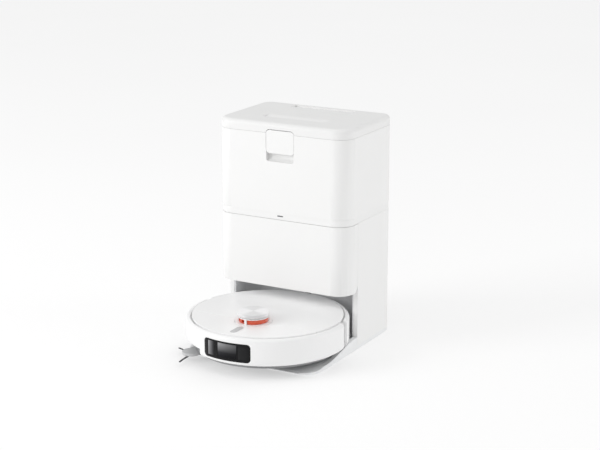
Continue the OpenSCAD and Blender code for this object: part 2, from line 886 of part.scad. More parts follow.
module robot_chassis() {
    color([0.2, 0.2, 0.21]) at_robot() difference() {
        union() {
            translate([0, 0, chassis_z]) cylinder(h = 3, r = chassis_r);
            ring(chassis_r - 3, chassis_r, chassis_z, plate_h - plate_t - 0.1);
            // Wheel wells
            for (s = [-1, 1]) {
                box(min(s * (well_x[0] - 2), s * (well_x[1] + 2)),
                    max(s * (well_x[0] - 2), s * (well_x[1] + 2)),
                    -well_y - 2, well_y + 2, chassis_z, well_top + 2);
            }
            // Tunnel over the main roller
            box(-90, 90, roller_y - 26, roller_y + 26, chassis_z, roller_z + 25);
            // Caster housing and the side arm's pivot boss
            translate([0, caster_y, chassis_z]) cylinder(h = 24, r = 21);
            translate([brush_arm_pivot[0], brush_arm_pivot[1], chassis_z]) cylinder(h = 14, r = 8);
        }
        for (s = [-1, 1]) {
            box(min(s * well_x[0], s * well_x[1]), max(s * well_x[0], s * well_x[1]),
                -well_y, well_y, 0, well_top);
            rod_x(s * 97 - 9, s * 97 + 9, arm_pivot[0], arm_pivot[1], 3 + running);
            translate([s * mop_x, mop_y, 0]) cylinder(h = 20, r = 13);
        }
        rod_x(-roller_l / 2 - 2, roller_l / 2 + 2, roller_y, roller_z, roller_r + 2.5);
        box(-roller_l / 2 - 2, roller_l / 2 + 2, roller_y - roller_r - 2.5,
            roller_y + roller_r + 2.5, 0, roller_z);
        rod_x(-91, 91, roller_y, roller_z, 3 + running);
        translate([0, caster_y, 0]) cylinder(h = chassis_z + 20, r = 18);
        translate([0, caster_y, 0]) cylinder(h = 60, r = 3 + running);
        translate([brush_arm_pivot[0], brush_arm_pivot[1], 0]) cylinder(h = 30, r = 3 + running);
        rod_y(0, 100, 170, nozzle_z - tray_top, 14);
        along(-170, -100) window_plan(-8);
        for (p = robot_screw_at) {
            translate([p[0], p[1], 0]) cylinder(h = 30, r = 1.5);
            translate([p[0], p[1], 0]) cylinder(h = chassis_z + 1.4, r = 3.3);
        }
    }
}

robot_screw_at = [[-60, -140], [60, -140], [-146, 12], [146, 12], [-30, 148], [30, 148]];

module robot_screws() {
    color(steel) at_robot() for (p = robot_screw_at) {
        translate([p[0], p[1], chassis_z]) {
            translate([0, 0, 1.3]) cylinder(h = 1.7, r = 1.45);
            difference() {
                translate([0, 0, 0.2]) cylinder(h = 1.2, r = 3.1);
                translate([-2.2, -0.4, 0]) cube([4.4, 0.8, 0.8]);
                translate([-0.4, -2.2, 0]) cube([0.8, 4.4, 0.8]);
            }
        }
    }
}

module roller_guard() {
    color([0.3, 0.3, 0.31]) at_robot() slab(chassis_z - 2, chassis_z - 0.05) difference() {
        rounded_plan(-90, 90, roller_y - 26, roller_y + 26, 4, 4);
        rounded_plan(-roller_l / 2 - 1, roller_l / 2 + 1, roller_y - 20.5, roller_y + 20.5, 3, 3);
    }
}

// ---------- robot: laser turret and keys ----------

module lidar_base() {
    color(white) at_lidar() difference() {
        union() {
            translate([0, 0, 64]) cylinder(h = 14, r = 28);
            translate([0, 0, 78 - e]) cylinder(h = plate_h - 77.6, r = turret_hole - 0.5);
            ring(20, cap_r, turret_ring, turret_ring + 2);
            for (a = post_at) {
                rotate(a) translate([cap_r - 2, -2.5, plate_h]) cube([2, 5, 11.5]);
            }
        }
        translate([0, 0, 70]) cylinder(h = 20, r = 3 + running);
        for (a = post_at) {
            rotate(a + 60) translate([27, 0, turret_ring - 1]) cylinder(h = 5, r = 1.5 + running);
        }
    }
}

module lidar_rotor() {
    color([0.86, 0.28, 0.18]) at_lidar() difference() {
        union() {
            translate([0, 0, plate_h + 0.9]) cylinder(h = 9, r = cap_r - 2.3);
            translate([0, 0, 72]) cylinder(h = 10, r = 3);
        }
        // Slots for the laser and its receiver
        rotate(-30) for (s = [-1, 1]) {
            box(s * 9 - 4, s * 9 + 4, -40, -cap_r + 9, plate_h + 3, plate_h + 8);
        }
        translate([0, 0, plate_h + 7.9]) ring(16, cap_r - 9, 0, 5);
    }
}

module lidar_cap() {
    low = turret_ring + 3;
    color(white) at_lidar() {
        translate([0, 0, low]) cylinder(h = 6.8, r = cap_r);
        translate([0, 0, low + 6.8 - e]) cylinder(h = 1.2, r1 = cap_r, r2 = cap_r - 1.2);
        for (a = post_at) {
            rotate(a + 60) translate([27, 0, turret_ring + 0.8]) cylinder(h = 3, r = 1.5);
        }
    }
}

// Half of the key capsule; s is -1 for the front key and 1 for the back one
module key(s) {
    length = key_l / 2 - 0.3;
    color([0.78, 0.79, 0.8]) at_robot() translate([0, key_y + s * 0.3, 0]) {
        slab(plate_h - 3.4, plate_h + 0.3) intersection() {
            rotate(90) rounded_bar(key_l, key_w);
            translate([-key_w, min(0, s * length * 2)]) square([2 * key_w, 2 * length]);
        }
        translate([0, s * length / 2, plate_h - 7]) cylinder(h = 4, r = 2);
    }
}

module power_key() {
    key(-1);
}

module home_key() {
    key(1);
}

// ---------- robot: inside ----------

module dust_bin() {
    color([0.55, 0.56, 0.6, 0.8]) at_robot() difference() {
        union() {
            slab(29, 74) rounded_plan(-56, 88, 30, 122, 10, 10);
            rod_y(0, 120, 154, nozzle_z - tray_top, 13);
        }
        slab(31.5, 71) rounded_plan(-53.5, 85.5, 32.5, 119.5, 8, 8);
        rod_y(0, 110, 160, nozzle_z - tray_top, 10.5);
        // Mouth towards the roller
        box(-30, 60, 20, 40, 36, 50);
    }
}

fan_at = [-92, 80];

module fan_housing() {
    color([0.24, 0.24, 0.26]) at_robot() translate([fan_at[0], fan_at[1], 30]) difference() {
        cylinder(h = 40, r = 29);
        translate([0, 0, 18]) cylinder(h = 18, r = 26);
        translate([0, 0, 30]) cylinder(h = 20, r = 10);
        translate([0, 0, 4]) cylinder(h = 20, r = 2 + running);
        rotate(-40) box(20, 34, -8, 8, 20, 33);
    }
}

module robot_impeller() {
    color([0.8, 0.8, 0.82]) at_robot() translate([fan_at[0], fan_at[1], 30]) {
        translate([0, 0, 20]) impeller(23, 13, 7, 9);
        translate([0, 0, 7]) cylinder(h = 14, r = 2);
    }
}

module battery() {
    cell_r = 9.2;
    color([0.2, 0.35, 0.6]) at_robot() {
        for (i = [0 : 6]) {
            translate([-57 + i * 19, 0, 0]) rod_y(0, -112, -40, 47, cell_r);
        }
        box(-66, 66, -112, -108, 38, 56);
        box(-66, 66, -44, -40, 38, 56);
    }
}

module main_board() {
    color([0.1, 0.35, 0.2]) at_robot() {
        box(-84, 84, -30, 22, 56, 57.6);
        box(-20, 6, -14, 8, 57.6 - e, 60);
        for (x = [-66 : 22 : 66]) {
            box(x - 4, x + 4, 12, 19, 57.6 - e, 63);
        }
    }
}

// ---------- robot: running gear ----------

// Finned roller on stub axles
module main_roller() {
    fins = 6;
    half = roller_l / 2;
    color([0.25, 0.26, 0.28]) at_robot() {
        rod_x(-half, half, roller_y, roller_z, 11);
        rod_x(-89, 89, roller_y, roller_z, 3);
        translate([0, roller_y, roller_z]) for (i = [0 : fins - 1]) {
            rotate([i * 360 / fins, 0, 0]) box(-half, half, -1.5, 1.5, 10, roller_r - 0.05);
        }
    }
}

module wheel_arm(s) {
    color(dark) at_robot() {
        hull() {
            rod_x(s * 101.5 - 2, s * 101.5 + 2, 0, wheel_r + 0.3, 9, $fn = soft_fn);
            rod_x(s * 101.5 - 2, s * 101.5 + 2, arm_pivot[0], arm_pivot[1], 6, $fn = soft_fn);
        }
        rod_x(s * 97 - 6, s * 97 + 6, arm_pivot[0], arm_pivot[1], 3);
        rod_x(s * 114 - 14, s * 114 + 14, 0, wheel_r + 0.3, 3);
        rod_x(s * 127.2 - 1.2, s * 127.2 + 1.2, 0, wheel_r + 0.3, 6);
    }
}

module wheel_arm_left() {
    wheel_arm(1);
}

module wheel_arm_right() {
    wheel_arm(-1);
}

module wheel(s) {
    mid = s * (wheel_x + wheel_w / 2);
    half = wheel_w / 2;
    lugs = 28;
    color([0.2, 0.2, 0.21]) at_robot() translate([0, 0, wheel_r + 0.3]) difference() {
        union() {
            rod_x(mid - half, mid + half, 0, 0, wheel_r - 1.5);
            for (i = [0 : lugs - 1]) {
                rotate([i * 360 / lugs, 0, 0]) box(mid - half + 1, mid + half - 1, -1.6, 1.6,
                    wheel_r - 4, wheel_r - 0.05);
            }
        }
        rod_x(mid - half - 1, mid + half + 1, 0, 0, 3 + running);
        // Dished outer face
        difference() {
            rod_x(mid + s * half - 3, mid + s * half + 3, 0, 0, wheel_r - 8);
            rod_x(mid + s * half - 4, mid + s * half + 4, 0, 0, 8);
        }
    }
}

module wheel_left() {
    wheel(1);
}

module wheel_right() {
    wheel(-1);
}

module caster_fork() {
    color([0.3, 0.3, 0.31]) at_robot() translate([0, caster_y, 0]) difference() {
        union() {
            translate([0, 0, 9]) cylinder(h = 20, r = 17);
            translate([0, 0, 28]) cylinder(h = 8, r = 3);
        }
        box(-6.6, 6.6, -30, 30, 0, 23);
        rod_x(-14, 14, -caster_trail, caster_r + 0.3, 1.5 + running);
    }
}

module caster_wheel() {
    y = caster_y - caster_trail;
    z = caster_r + 0.3;
    color([0.85, 0.85, 0.86]) at_robot() {
        rod_x(-5.8, 5.8, y, z, caster_r - 1.2);
        rod_x(-4.4, 4.4, y, z, caster_r);
        rod_x(-12, 12, y, z, 1.5);
    }
}

module side_arm() {
    disc_r = 19.5;
    color([0.8, 0.8, 0.81]) at_robot() difference() {
        union() {
            slab(4, 10) {
                hull() {
                    translate(brush_arm_pivot) circle(r = 11, $fn = soft_fn);
                    translate(brush_centre) circle(r = 14, $fn = soft_fn);
                }
                translate(brush_centre) circle(r = disc_r);
            }
            translate([brush_arm_pivot[0], brush_arm_pivot[1], 10 - e]) cylinder(h = 14, r = 3);
        }
        translate([brush_centre[0], brush_centre[1], 3]) cylinder(h = 5.4, r = 2.5 + running);
    }
}

// Three-armed side brush, each arm a bent plastic whisker
module side_brush() {
    color([0.3, 0.3, 0.32]) at_robot() translate([brush_centre[0], brush_centre[1], 0]) {
        translate([0, 0, 0.8]) cylinder(h = 2.9, r = 8);
        translate([0, 0, 3]) cylinder(h = 5, r = 2.5);
        for (a = [152, 272, 32]) {
            rotate(a) {
                translate([6, -2, 0.8]) cube([24, 4, 2.8]);
                translate([28, -2, 1]) rotate([0, 1, 8]) cube([brush_reach - 29, 3.5, 2]);
            }
        }
    }
}

module mop_gearbox() {
    color([0.3, 0.3, 0.32]) at_robot() difference() {
        slab(14.2, 28) rounded_plan(-98, 98, 64, 112, 8, 8);
        for (s = [-1, 1]) {
            translate([s * mop_x, mop_y, 10]) cylinder(h = 15, r = 4 + running);
        }
    }
}

// Disc that carries a mop pad, with its drive shaft
module mop_disc(s) {
    color([0.35, 0.36, 0.38]) at_robot() translate([s * mop_x, mop_y, 0]) {
        translate([0, 0, 5.6]) cylinder(h = 3.4, r = mop_r - 2);
        translate([0, 0, 8]) cylinder(h = 5, r = 10);
        translate([0, 0, 12]) cylinder(h = 12, r = 4);
    }
}

module mop_pad(s) {
    edge = 2.2;
    color([0.75, 0.76, 0.78]) at_robot() translate([s * mop_x, mop_y, 0.4]) rotate_extrude() {
        square([mop_r - edge, 2 * edge + 0.6]);
        translate([0, edge]) square([mop_r, 0.6]);
        translate([mop_r - edge, edge]) circle(r = edge);
        translate([mop_r - edge, edge + 0.6]) circle(r = edge);
    }
}

module mop_left() {
    mop_disc(1);
}

module mop_right() {
    mop_disc(-1);
}

module pad_left() {
    mop_pad(1);
}

module pad_right() {
    mop_pad(-1);
}

base_tray();
wash_board();
rubber_feet();
lower_housing();
bay_liner();
dust_door();
mid_band();
status_lens();
upper_housing();
clean_tank();
dirty_tank();
tank_caps();
lid();
lid_seal();
lid_latch();
hinge_pins();
dust_bag();
bag_frame();
dust_duct();
suction_motor();
station_impeller();
water_pumps();
power_supply();
power_inlet();
rear_cover();
station_screws();
charge_contacts();
robot_chassis();
rear_shell();
top_plate();
robot_cover();
bumper();
sensor_window();
lidar_base();
lidar_rotor();
lidar_cap();
power_key();
home_key();
dust_bin();
fan_housing();
robot_impeller();
battery();
main_board();
main_roller();
roller_guard();
wheel_arm_left();
wheel_arm_right();
wheel_left();
wheel_right();
caster_fork();
caster_wheel();
side_arm();
side_brush();
mop_left();
mop_right();
pad_left();
pad_right();
mop_gearbox();
robot_contacts();
robot_screws();
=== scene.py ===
"""Looks of the robot vacuum and its station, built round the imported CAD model."""
import json
import math
import random

import bmesh
import bpy
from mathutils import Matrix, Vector, noise


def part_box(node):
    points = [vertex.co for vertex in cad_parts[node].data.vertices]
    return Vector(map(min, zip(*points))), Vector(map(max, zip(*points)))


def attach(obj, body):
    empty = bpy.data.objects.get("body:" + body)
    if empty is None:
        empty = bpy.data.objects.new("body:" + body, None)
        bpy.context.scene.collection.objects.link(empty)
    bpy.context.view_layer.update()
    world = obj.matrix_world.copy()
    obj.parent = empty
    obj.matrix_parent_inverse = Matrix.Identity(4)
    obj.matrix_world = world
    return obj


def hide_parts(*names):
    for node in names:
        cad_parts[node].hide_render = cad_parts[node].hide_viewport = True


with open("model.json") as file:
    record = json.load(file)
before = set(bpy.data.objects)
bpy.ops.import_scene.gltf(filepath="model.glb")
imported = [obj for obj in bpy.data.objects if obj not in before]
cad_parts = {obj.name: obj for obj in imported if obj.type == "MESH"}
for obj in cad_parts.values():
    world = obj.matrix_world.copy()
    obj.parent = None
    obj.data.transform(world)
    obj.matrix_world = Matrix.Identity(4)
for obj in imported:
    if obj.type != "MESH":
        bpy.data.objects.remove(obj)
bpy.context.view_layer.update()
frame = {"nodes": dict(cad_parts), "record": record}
NODES = frame["nodes"]
MM = 0.001

# ---------- camera, floor and light ----------

AZIMUTH = 29.03
ELEVATION = 15.07
CAMERA_AT = (1.62657, -2.84265, 1.15361)
LENS = 95.05
SENSOR_WIDTH = 36
VIEW_DEPTH = 100


def make_camera():
    data = bpy.data.cameras.new("camera")
    data.lens = LENS
    data.sensor_width = SENSOR_WIDTH
    data.clip_end = VIEW_DEPTH
    cam = bpy.data.objects.new("camera", data)
    cam.location = CAMERA_AT
    cam.rotation_euler = (math.radians(90 - ELEVATION), 0, math.radians(AZIMUTH))
    bpy.context.scene.collection.objects.link(cam)
    bpy.context.scene.camera = cam


def link(name, mesh, material=None):
    obj = bpy.data.objects.new(name, mesh)
    bpy.context.scene.collection.objects.link(obj)
    if material:
        mesh.materials.append(material)
    return obj


def make_light(name, place, target, size, power):
    data = bpy.data.lights.new(name, "AREA")
    data.shape = "RECTANGLE"
    data.size, data.size_y = size
    data.energy = power
    lamp = bpy.data.objects.new(name, data)
    lamp.location = place
    aim = Vector(target) - Vector(place)
    lamp.rotation_euler = aim.to_track_quat("-Z", "Y").to_euler()
    bpy.context.scene.collection.objects.link(lamp)
    return lamp


# ---------- material helpers ----------

class Graph:
    """A material's nodes, made and joined in short calls."""

    def __init__(self, name):
        self.mat = bpy.data.materials.new(name)
        self.mat.use_nodes = True
        self.tree = self.mat.node_tree
        self.tree.nodes.clear()
        self.out = self.add("ShaderNodeOutputMaterial")
        self.bsdf = self.add("ShaderNodeBsdfPrincipled")
        self.join(self.bsdf, "BSDF", self.out, "Surface")
        self.coords = self.add("ShaderNodeTexCoord")

    def add(self, kind, **values):
        node = self.tree.nodes.new(kind)
        for key, value in values.items():
            if hasattr(node, key) and key not in node.inputs:
                setattr(node, key, value)
            else:
                node.inputs[key].default_value = value
        return node

    def join(self, a, out, b, into):
        self.tree.links.new(a.outputs[out], b.inputs[into])

    def noise(self, scale, detail=2.0, rough=0.5, stretch=None, distort=0.0):
        tex = self.add("ShaderNodeTexNoise", Scale=scale, Detail=detail, Roughness=rough,
                       Distortion=distort)
        source = self.coords
        out = "Object"
        if stretch:
            source = self.add("ShaderNodeMapping", Scale=stretch)
            self.join(self.coords, "Object", source, "Vector")
            out = "Vector"
        self.join(source, out, tex, "Vector")
        return tex

    def ramp(self, source, out, stops):
        node = self.add("ShaderNodeValToRGB")
        elements = node.color_ramp.elements
        while len(elements) < len(stops):
            elements.new(0.5)
        for element, (place, colour) in zip(elements, stops):
            element.position = place
            element.color = (*colour, 1)
        self.join(source, out, node, "Fac")
        return node

    def spread(self, source, out, low, high, from_low=0.3, from_high=0.7):
        node = self.add("ShaderNodeMapRange")
        for i, value in enumerate((from_low, from_high, low, high), start=1):
            node.inputs[i].default_value = value
        self.join(source, out, node, "Value")
        return node

    def bump(self, source, out, strength, distance, into=None):
        node = self.add("ShaderNodeBump", Strength=strength, Distance=distance)
        self.join(source, out, node, "Height")
        if into:
            self.join(into, "Normal", node, "Normal")
        return node

    def base(self, node, out="Color"):
        self.join(node, out, self.bsdf, "Base Color")

    def rough(self, node):
        self.join(node, "Result", self.bsdf, "Roughness")

    def normal(self, node):
        self.join(node, "Normal", self.bsdf, "Normal")


def tint(colour, factor):
    return tuple(min(1.0, c * factor) for c in colour)


GRAIN_SCALE = 1400
COAT_ROUGHNESS = 0.12


def moulded(name, colour, rough, grain, mottle=0.02, coat=0.0, waves=0.03, uneven=0.05):
    """Moulded plastic: spark-eroded grain, faint flow marks and a slightly uneven gloss."""
    g = Graph(name)
    broad = g.noise(9, 3)
    g.base(g.ramp(broad, "Fac", [(0.3, tint(colour, 1 - mottle)),
                                 (0.7, tint(colour, 1 + mottle))]))
    handled = g.noise(38, 4, 0.6)
    g.rough(g.spread(handled, "Fac", rough - uneven, rough + uneven))
    flow = g.noise(26, 1)
    wavy = g.bump(flow, "Fac", waves, 0.001)
    fine = g.noise(GRAIN_SCALE, 3, 0.6)
    g.normal(g.bump(fine, "Fac", grain, 0.0002, wavy))
    g.bsdf.inputs["Coat Weight"].default_value = coat
    g.bsdf.inputs["Coat Roughness"].default_value = COAT_ROUGHNESS
    return g.mat


def clear_plastic(name, colour, rough, transmission):
    """Tank wall: tinted and see-through, with a faint frosting and water marks."""
    g = Graph(name)
    marks = g.noise(55, 5, 0.65)
    g.base(g.ramp(marks, "Fac", [(0.35, tint(colour, 0.94)), (0.7, colour)]))
    g.rough(g.spread(marks, "Fac", rough, rough + 0.12))
    g.normal(g.bump(g.noise(700, 2), "Fac", 0.05, 0.0003))
    g.bsdf.inputs["Transmission Weight"].default_value = transmission
    g.bsdf.inputs["IOR"].default_value = 1.2
    return g.mat


def metal(name, colour, rough, stretch):
    """Turned or brushed metal, with fine drawn lines along one direction."""
    g = Graph(name)
    lines = g.noise(300, 4, 0.6, stretch=stretch)
    g.base(g.ramp(lines, "Fac", [(0.3, tint(colour, 0.86)), (0.7, colour)]))
    g.rough(g.spread(lines, "Fac", rough, rough + 0.15))
    g.normal(g.bump(lines, "Fac", 0.12, 0.0003))
    g.bsdf.inputs["Metallic"].default_value = 1.0
    return g.mat


def rubbery(name, colour, rough=0.78, grain=0.25):
    """Moulded rubber: dull, with fine grain and pale dusty patches."""
    g = Graph(name)
    dust = g.noise(70, 6, 0.7)
    dusty = tuple(min(1, c * 1.5 + 0.02) for c in colour)
    g.base(g.ramp(dust, "Fac", [(0.45, colour), (0.8, dusty)]))
    g.rough(g.spread(dust, "Fac", rough - 0.06, rough + 0.08))
    g.normal(g.bump(g.noise(1800, 3), "Fac", grain, 0.0003))
    g.bsdf.inputs["Specular IOR Level"].default_value = 0.35
    return g.mat


def fibrous(name, colour, scale, strength, distance, sheen):
    """Felted or pile fabric: tangled fibres in colour and height."""
    g = Graph(name)
    tangle = g.noise(scale, 6, 0.75, distort=1.2)
    patches = g.noise(45, 3)
    shade = g.ramp(tangle, "Fac", [(0.3, tint(colour, 0.72)), (0.7, tint(colour, 1.08))])
    mix = g.add("ShaderNodeMix", data_type="RGBA", blend_type="MULTIPLY")
    mix.inputs["Factor"].default_value = 0.5
    g.join(shade, "Color", mix, "A")
    soft = g.ramp(patches, "Fac", [(0.3, (0.86, 0.86, 0.87)), (0.7, (1, 1, 1))])
    g.join(soft, "Color", mix, "B")
    g.base(mix, "Result")
    g.normal(g.bump(tangle, "Fac", strength, distance))
    g.bsdf.inputs["Roughness"].default_value = 0.95
    g.bsdf.inputs["Sheen Weight"].default_value = sheen
    g.bsdf.inputs["Sheen Roughness"].default_value = 0.5
    return g.mat


def spun_cap(name, colour, centre):
    """Turret's cap: a finely turned disc whose sheen runs in sectors round its middle; that sheen
    is painted into its colour.
    """
    g = Graph(name)
    move = g.add("ShaderNodeMapping", Location=tuple(-c for c in centre))
    g.join(g.coords, "Object", move, "Vector")
    split = g.add("ShaderNodeSeparateXYZ")
    g.join(move, "Vector", split, "Vector")
    angle = g.add("ShaderNodeMath", operation="ARCTAN2")
    g.join(split, "Y", angle, 0)
    g.join(split, "X", angle, 1)
    double = g.add("ShaderNodeMath", operation="MULTIPLY")
    g.join(angle, "Value", double, 0)
    double.inputs[1].default_value = 2.0
    turn = g.add("ShaderNodeMath", operation="ADD")
    g.join(double, "Value", turn, 0)
    turn.inputs[1].default_value = 0.5
    painted_sheen = g.add("ShaderNodeMath", operation="SINE")
    g.join(turn, "Value", painted_sheen, 0)
    # Painted sheen: lighter and darker sectors round the middle, put in the base colour
    g.base(g.ramp(g.spread(painted_sheen, "Value", 0, 1, -1, 1), "Result",
                  [(0.2, tint(colour, 0.86)), (0.75, tint(colour, 1.05))]))
    rings = g.add("ShaderNodeTexWave", wave_type="RINGS", rings_direction="Z", Scale=900.0,
                  Distortion=1.0, Detail=2.0)
    g.join(move, "Vector", rings, "Vector")
    g.rough(g.spread(rings, "Fac", 0.30, 0.42, 0, 1))
    g.normal(g.bump(rings, "Fac", 0.05, 0.0002))
    g.bsdf.inputs["Metallic"].default_value = 0.25
    return g.mat


def circuit(name):
    """Green board with pale traces."""
    g = Graph(name)
    lines = g.add("ShaderNodeTexBrick", Scale=160.0)
    lines.inputs["Color1"].default_value = (0.02, 0.12, 0.06, 1)
    lines.inputs["Color2"].default_value = (0.03, 0.17, 0.08, 1)
    lines.inputs["Mortar"].default_value = (0.10, 0.28, 0.14, 1)
    lines.inputs["Mortar Size"].default_value = 0.012
    g.join(g.coords, "Object", lines, "Vector")
    g.base(lines)
    g.rough(g.spread(g.noise(60, 3), "Fac", 0.3, 0.45))
    g.normal(g.bump(lines, "Fac", 0.2, 0.0002))
    return g.mat


def smoked_window(name):
    """Glossy black panel, with a faint depth of colour and wipe marks."""
    low, high, rough = 0.006, 0.012, 0.10
    g = Graph(name)
    wipe = g.noise(30, 5, 0.65, stretch=(1, 1, 3))
    g.base(g.ramp(wipe, "Fac", [(0.3, (low, low, low * 1.1)), (0.75, (high, high, high * 1.1))]))
    g.rough(g.spread(wipe, "Fac", rough, rough + 0.07))
    g.normal(g.bump(g.noise(900, 2), "Fac", 0.01, 0.0002))
    g.bsdf.inputs["Specular IOR Level"].default_value = 0.15
    return g.mat


def pane_painted_reflection(name, axis, stops, fade):
    """Glass over a sensor with a painted reflection: the grey runs along one axis and fades
    downwards into black.
    """
    g = Graph(name)
    split = g.add("ShaderNodeSeparateXYZ")
    g.join(g.coords, "Object", split, "Vector")
    # Painted reflection: grey across the pane over its dark glass, darkened downwards by the
    # second ramp
    reflection_across = g.ramp(g.spread(split, "X", 0, 1, *axis), "Result", stops)
    reflection_down = g.ramp(g.spread(split, "Z", 0, 1, *fade[0]), "Result", fade[1])
    mix = g.add("ShaderNodeMix", data_type="RGBA", blend_type="MULTIPLY")
    mix.inputs["Factor"].default_value = 1.0
    g.join(reflection_across, "Color", mix, "A")
    g.join(reflection_down, "Color", mix, "B")
    g.base(mix, "Result")
    g.rough(g.spread(g.noise(60, 3), "Fac", 0.12, 0.2))
    g.bsdf.inputs["Specular IOR Level"].default_value = 0.12
    return g.mat


cap_low, cap_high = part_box("lidar_cap")
CAP_CENTRE = (cap_low + cap_high) / 2

LOOKS = {
    "station_white": moulded("station_white", (0.905, 0.905, 0.90), 0.42, 0.05, mottle=0.006),
    # lid_white is station white made a shade darker: painted shade for the lid's top, which the
    # frontal light leaves darker
    "lid_white": moulded("lid_white", (0.875, 0.875, 0.87), 0.42, 0.05, mottle=0.006),
    "tray_grey": moulded("tray_grey", (0.885, 0.892, 0.897), 0.5, 0.08, mottle=0.02),
    "liner_grey": moulded("liner_grey", (0.76, 0.765, 0.775), 0.5, 0.08, mottle=0.03),
    "band_grey": moulded("band_grey", (0.895, 0.895, 0.89), 0.40, 0.04, mottle=0.006),
    "lens_white": moulded("lens_smoke", (0.16, 0.16, 0.17), 0.2, 0.01, coat=0.4),
    "robot_white": moulded("robot_white", (0.93, 0.93, 0.93), 0.30, 0.0, mottle=0.004,
                           waves=0.0, uneven=0.006),
    "window_black": smoked_window("window_black"),
    "turret_red": moulded("turret_red", (0.72, 0.085, 0.030), 0.22, 0.02, mottle=0.08, coat=0.5),
    "key_silver": metal("key_silver", (0.74, 0.745, 0.75), 0.5, (1, 24, 24)),
    "black_plastic": moulded("black_plastic", (0.030, 0.030, 0.033), 0.5, 0.16, mottle=0.15),
    "dark_plastic": moulded("dark_plastic", (0.075, 0.076, 0.080), 0.55, 0.16, mottle=0.12),
    "brush_grey": moulded("brush_grey", (0.60, 0.605, 0.61), 0.5, 0.06, mottle=0.03),
    "chassis_grey": moulded("chassis_grey", (0.30, 0.303, 0.31), 0.55, 0.12, mottle=0.08),
    "clear_tank": clear_plastic("clear_tank", (0.80, 0.88, 0.93), 0.08, 0.8),
    "smoke_tank": clear_plastic("smoke_tank", (0.30, 0.33, 0.36), 0.10, 0.7),
    "cap_blue": moulded("cap_blue", (0.10, 0.20, 0.36), 0.45, 0.10, mottle=0.05),
    "rubber": rubbery("rubber", (0.045, 0.045, 0.05)),
    "tyre": rubbery("tyre", (0.035, 0.035, 0.04), 0.82, 0.35),
    "steel": metal("steel", (0.62, 0.63, 0.65), 0.28, (8, 8, 60)),
    "contact": metal("contact", (0.80, 0.62, 0.34), 0.30, (1, 8, 40)),
    "bag_paper": fibrous("bag_paper", (0.80, 0.78, 0.73), 420, 0.3, 0.0006, 0.2),
    "board": fibrous("board", (0.50, 0.38, 0.25), 900, 0.2, 0.0003, 0.0),
    "circuit": circuit("circuit"),
    "cells": moulded("cells", (0.03, 0.10, 0.30), 0.25, 0.03, mottle=0.06, coat=0.4),
    "mop_cloth": fibrous("mop_cloth", (0.55, 0.57, 0.61), 900, 0.8, 0.0012, 0.6),
    "alloy": metal("alloy", (0.76, 0.76, 0.77), 0.3, (20, 20, 20)),
}
BRISTLES = rubbery("bristles", (0.05, 0.051, 0.055), 0.6, 0.1)
CAP_LOOK = spun_cap("turret_cap", (0.86, 0.86, 0.865), CAP_CENTRE)

for row in frame["record"]["subparts"]:
    mesh = NODES[row["node"]].data
    look = CAP_LOOK if row["node"] == "lidar_cap" else LOOKS[row["material_slot"]]
    if not mesh.materials:
        mesh.materials.append(look)
    for i in range(len(mesh.materials)):
        mesh.materials[i] = look

# ---------- edges of the CAD nodes ----------

WELD_DISTANCE = 2e-6
BEVEL_ANGLE = 32

# Width in millimetres of the bevel on each node
EDGES = {
    "lid": 0.8, "upper_housing": 0.7, "dust_door": 0.8, "lower_housing": 0.7, "mid_band": 0.5,
    "lid_latch": 0.7, "base_tray": 0.9, "bay_liner": 0.5, "bumper": 0.6, "rear_shell": 0.6,
    "top_plate": 0.6, "robot_cover": 0.6, "lidar_base": 0.5, "lidar_cap": 0.6, "power_key": 0.4,
    "home_key": 0.4, "side_arm": 0.6, "sensor_window": 0.4, "rear_cover": 0.5, "wheel_left": 0.4,
    "wheel_right": 0.4, "tank_caps": 0.8, "power_inlet": 0.5, "robot_chassis": 0.5,
    "clean_tank": 0.8, "dirty_tank": 0.8, "main_roller": 0.4, "caster_fork": 0.5,
}


def soften(node, width):
    """Breaks the sharp edges of a CAD node, as a mould does."""
    obj = NODES[node]
    weld = obj.modifiers.new("weld", "WELD")
    weld.merge_threshold = WELD_DISTANCE
    bevel = obj.modifiers.new("edges", "BEVEL")
    bevel.width = width * MM
    bevel.segments = 2
    bevel.limit_method = "ANGLE"
    bevel.angle_limit = math.radians(BEVEL_ANGLE)
    bevel.harden_normals = True
    bevel.use_clamp_overlap = True


for node, width in EDGES.items():
    soften(node, width)

# ---------- pieces built here ----------

ROBOT = Vector((0, -54, 9.5))


def turns(count):
    """Angles of a full turn in equal steps."""
    return [math.tau * k / count for k in range(count)]


def piece(name, points, faces, look, body, replaced=(), smooth=35):
    """A closed mesh in millimetres, which rides on a body and may stand for CAD nodes."""
    data = bpy.data.meshes.new(name)
    data.from_pydata([Vector(p) * MM for p in points], [], faces)
    shape = bmesh.new()
    shape.from_mesh(data)
    bmesh.ops.recalc_face_normals(shape, faces=shape.faces)
    shape.to_mesh(data)
    shape.free()
    obj = link(name, data, look)
    data.shade_smooth()
    data.set_sharp_from_angle(angle=math.radians(smooth))
    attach(obj, body)
    if replaced:
        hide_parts(*replaced)
    return obj


